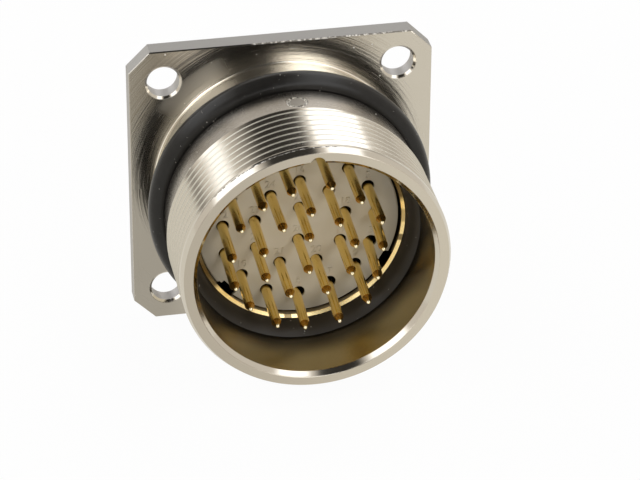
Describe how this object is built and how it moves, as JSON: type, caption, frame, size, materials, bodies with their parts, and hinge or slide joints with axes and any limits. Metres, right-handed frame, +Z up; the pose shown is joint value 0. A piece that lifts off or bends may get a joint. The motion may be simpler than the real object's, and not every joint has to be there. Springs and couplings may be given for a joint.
{
  "type": "circular industrial connector receptacle",
  "caption": "Circular industrial connector receptacle: square four-hole panel flange, threaded barrel with key slot and rubber seal rings, insulator with gold pin contacts.",
  "frame": {"origin": "on the connector's axis, in the plane of the square flange's back face, which seats on the panel", "axes": "-Y is the mating direction, out of the barrel's mouth; +Z is up, towards the key slot; +X is to the right as seen from the mating side"},
  "size_m": [0.031, 0.0295, 0.031],
  "materials": {
    "nickel_plate": "bright nickel plate on turned brass",
    "black_rubber": "matte black moulded rubber",
    "gold_plate": "gold plate, polished",
    "insulator_plastic": "matt moulded thermoplastic, warm light grey"
  },
  "bodies": {
    "root": {"bore_seal": "black_rubber", "contact_01": "gold_plate", "contact_02": "gold_plate", "contact_03": "gold_plate", "contact_04": "gold_plate", "contact_05": "gold_plate", "contact_06": "gold_plate", "contact_07": "gold_plate", "contact_08": "gold_plate", "contact_09": "gold_plate", "contact_10": "gold_plate", "contact_11": "gold_plate", "contact_12": "gold_plate", "contact_13": "gold_plate", "contact_14": "gold_plate", "contact_15": "gold_plate", "contact_16": "gold_plate", "contact_17": "gold_plate", "contact_18": "gold_plate", "contact_19": "gold_plate", "contact_20": "gold_plate", "contact_21": "gold_plate", "contact_22": "gold_plate", "contact_23": "gold_plate", "contact_24": "gold_plate", "contact_25": "gold_plate", "contact_26": "gold_plate", "coupling_seal_ring": "black_rubber", "flange_seal_ring": "black_rubber", "front_insert": "insulator_plastic", "insert_sleeve": "gold_plate", "rear_insert": "insulator_plastic", "retaining_ring": "nickel_plate", "shell": "nickel_plate"}
  },
  "joints": []
}
